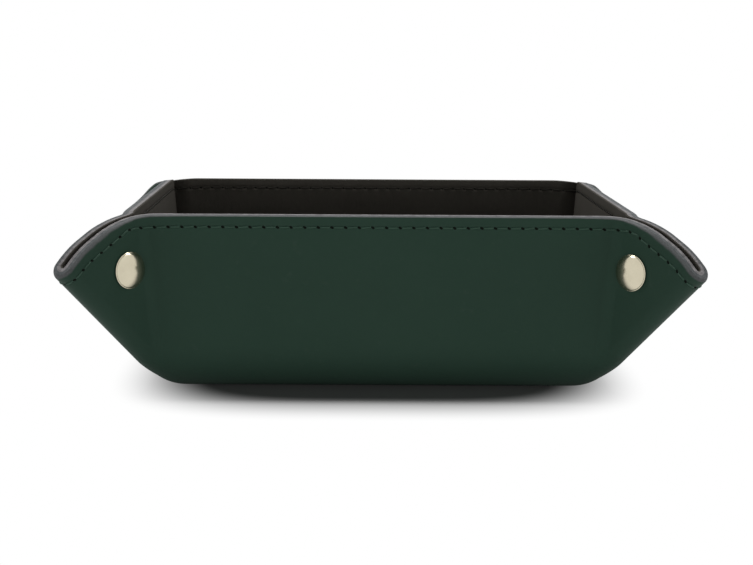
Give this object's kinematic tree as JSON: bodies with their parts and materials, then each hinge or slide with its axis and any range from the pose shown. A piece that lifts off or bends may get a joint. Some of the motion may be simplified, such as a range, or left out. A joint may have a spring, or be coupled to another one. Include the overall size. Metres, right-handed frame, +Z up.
{
  "type": "valet tray",
  "caption": "Square lined-leather valet tray for pocket items, its corners pinched into outward flaps and held by snaps; unsnapped, the walls fold down flat.",
  "frame": {"origin": "centre of the base's underside, on the table", "axes": "+Z up out of the open top, +X along the front wall, -Y towards the viewer of the picture"},
  "size_m": [0.2206, 0.2206, 0.0615],
  "materials": {
    "green_leather": "smooth satin leather with fine grain and raw grey cut edges",
    "dark_lining": "matt napped lining",
    "nickel": "polished warm nickel",
    "spring_wire": "drawn wire"
  },
  "bodies": {
    "base": {"base_leather": "green_leather", "base_lining": "dark_lining"},
    "front_wall": {"front_wall_leather": "green_leather", "front_wall_lining": "dark_lining"},
    "right_wall": {"right_wall_leather": "green_leather", "right_wall_lining": "dark_lining"},
    "back_wall": {"back_wall_leather": "green_leather", "back_wall_lining": "dark_lining"},
    "left_wall": {"left_wall_leather": "green_leather", "left_wall_lining": "dark_lining"},
    "front_left_end_flap": {"front_left_end_flap_leather": "green_leather", "front_left_end_flap_lining": "dark_lining", "front_left_cap": "nickel", "front_left_socket": "nickel", "front_left_spring": "spring_wire"},
    "front_left_side_flap": {"front_left_side_flap_leather": "green_leather", "front_left_side_flap_lining": "dark_lining", "front_left_stud": "nickel", "front_left_eyelet": "nickel"},
    "front_right_end_flap": {"front_right_end_flap_leather": "green_leather", "front_right_end_flap_lining": "dark_lining", "front_right_cap": "nickel", "front_right_socket": "nickel", "front_right_spring": "spring_wire"},
    "front_right_side_flap": {"front_right_side_flap_leather": "green_leather", "front_right_side_flap_lining": "dark_lining", "front_right_stud": "nickel", "front_right_eyelet": "nickel"},
    "back_left_end_flap": {"back_left_end_flap_leather": "green_leather", "back_left_end_flap_lining": "dark_lining", "back_left_cap": "nickel", "back_left_socket": "nickel", "back_left_spring": "spring_wire"},
    "back_left_side_flap": {"back_left_side_flap_leather": "green_leather", "back_left_side_flap_lining": "dark_lining", "back_left_stud": "nickel", "back_left_eyelet": "nickel"},
    "back_right_end_flap": {"back_right_end_flap_leather": "green_leather", "back_right_end_flap_lining": "dark_lining", "back_right_cap": "nickel", "back_right_socket": "nickel", "back_right_spring": "spring_wire"},
    "back_right_side_flap": {"back_right_side_flap_leather": "green_leather", "back_right_side_flap_lining": "dark_lining", "back_right_stud": "nickel", "back_right_eyelet": "nickel"}
  },
  "joints": [
    {"name": "front_wall_fold", "type": "hinge", "parent": "base", "child": "front_wall", "pos_m": [0, -0.07784, 0.00462], "axis": [1, 0, 0], "range_deg": [0, 79.5]},
    {"name": "right_wall_fold", "type": "hinge", "parent": "base", "child": "right_wall", "pos_m": [0.07784, 0, 0.00462], "axis": [0, 1, 0], "range_deg": [0, 79.5]},
    {"name": "back_wall_fold", "type": "hinge", "parent": "base", "child": "back_wall", "pos_m": [0, 0.07784, 0.00462], "axis": [-1, 0, 0], "range_deg": [0, 79.5]},
    {"name": "left_wall_fold", "type": "hinge", "parent": "base", "child": "left_wall", "pos_m": [-0.07784, 0, 0.00462], "axis": [0, -1, 0], "range_deg": [0, 79.5]},
    {"name": "front_left_corner_open", "type": "hinge", "parent": "front_wall", "child": "front_left_end_flap", "pos_m": [-0.07937, -0.08198, 0.03], "axis": [0.104, 0.104, -0.9891], "range_deg": [0, 42.9]},
    {"name": "front_left_fold_open", "type": "hinge", "parent": "front_left_end_flap", "child": "front_left_side_flap", "pos_m": [-0.09468, -0.09468, 0.025], "axis": [-0.5212, -0.5212, 0.6758], "range_deg": [0, 170.4]},
    {"name": "front_right_corner_open", "type": "hinge", "parent": "front_wall", "child": "front_right_end_flap", "pos_m": [0.07937, -0.08198, 0.03], "axis": [0.104, -0.104, 0.9891], "range_deg": [0, 42.9]},
    {"name": "front_right_fold_open", "type": "hinge", "parent": "front_right_end_flap", "child": "front_right_side_flap", "pos_m": [0.09468, -0.09468, 0.025], "axis": [-0.5212, 0.5212, -0.6758], "range_deg": [0, 170.4]},
    {"name": "back_left_corner_open", "type": "hinge", "parent": "back_wall", "child": "back_left_end_flap", "pos_m": [-0.07937, 0.08198, 0.03], "axis": [-0.104, 0.104, 0.9891], "range_deg": [0, 42.9]},
    {"name": "back_left_fold_open", "type": "hinge", "parent": "back_left_end_flap", "child": "back_left_side_flap", "pos_m": [-0.09468, 0.09468, 0.025], "axis": [0.5212, -0.5212, -0.6758], "range_deg": [0, 170.4]},
    {"name": "back_right_corner_open", "type": "hinge", "parent": "back_wall", "child": "back_right_end_flap", "pos_m": [0.07937, 0.08198, 0.03], "axis": [-0.104, -0.104, -0.9891], "range_deg": [0, 42.9]},
    {"name": "back_right_fold_open", "type": "hinge", "parent": "back_right_end_flap", "child": "back_right_side_flap", "pos_m": [0.09468, 0.09468, 0.025], "axis": [0.5212, 0.5212, 0.6758], "range_deg": [0, 170.4]}
  ],
  "couplings": [
    {"joint": "right_wall_fold", "follows": "front_wall_fold", "ratio": 1},
    {"joint": "back_wall_fold", "follows": "front_wall_fold", "ratio": 1},
    {"joint": "left_wall_fold", "follows": "front_wall_fold", "ratio": 1},
    {"joint": "front_left_corner_open", "follows": "front_wall_fold", "ratio": 0.53944},
    {"joint": "front_left_fold_open", "follows": "front_wall_fold", "ratio": 2.1429},
    {"joint": "front_right_corner_open", "follows": "front_wall_fold", "ratio": 0.53944},
    {"joint": "front_right_fold_open", "follows": "front_wall_fold", "ratio": 2.1429},
    {"joint": "back_left_corner_open", "follows": "front_wall_fold", "ratio": 0.53944},
    {"joint": "back_left_fold_open", "follows": "front_wall_fold", "ratio": 2.1429},
    {"joint": "back_right_corner_open", "follows": "front_wall_fold", "ratio": 0.53944},
    {"joint": "back_right_fold_open", "follows": "front_wall_fold", "ratio": 2.1429}
  ]
}
